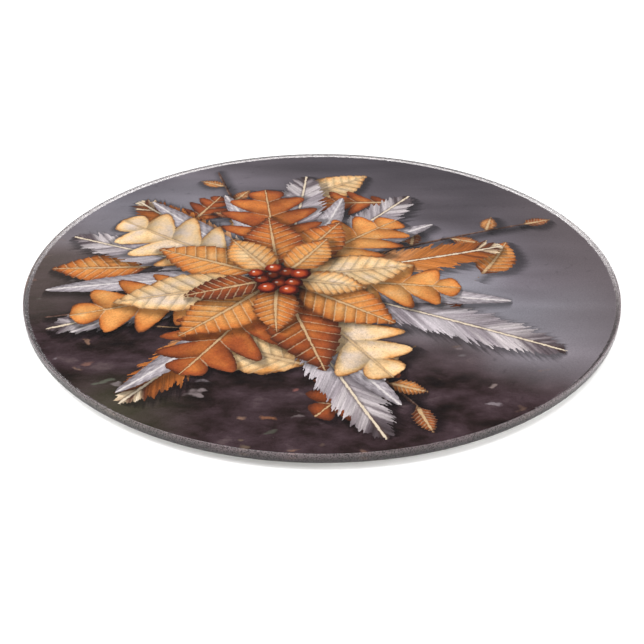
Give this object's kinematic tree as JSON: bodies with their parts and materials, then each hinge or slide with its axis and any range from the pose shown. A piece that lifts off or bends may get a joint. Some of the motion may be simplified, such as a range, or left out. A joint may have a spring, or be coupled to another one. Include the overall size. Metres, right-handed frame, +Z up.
{
  "type": "round glass cutting board",
  "caption": "Flat round cutting board of toughened glass with a rounded ground edge, a printed and white-backed underside and small rubber feet that lift it off the worktop.",
  "frame": {"origin": "on the surface the feet stand on, under the middle of the board", "axes": "+Z up through the thickness of the board; +X to the right and +Y away from a person who stands at the front of the printed picture"},
  "size_m": [0.3, 0.3, 0.0082],
  "materials": {
    "glass": "clear toughened glass, pebbled top, ground satin edge",
    "print": "reverse-printed film, satin, in rust, cream, grey and dark brown",
    "backing": "opaque white cover film, matt",
    "rubber": "moulded black elastomer, matt",
    "adhesive": "white foam adhesive, matt"
  },
  "bodies": {
    "root": {"glass_disc": "glass", "print_film": "print", "backing_film": "backing", "foot_1": "rubber", "foot_pad_1": "adhesive", "foot_2": "rubber", "foot_pad_2": "adhesive", "foot_3": "rubber", "foot_pad_3": "adhesive", "foot_4": "rubber", "foot_pad_4": "adhesive"}
  },
  "joints": []
}
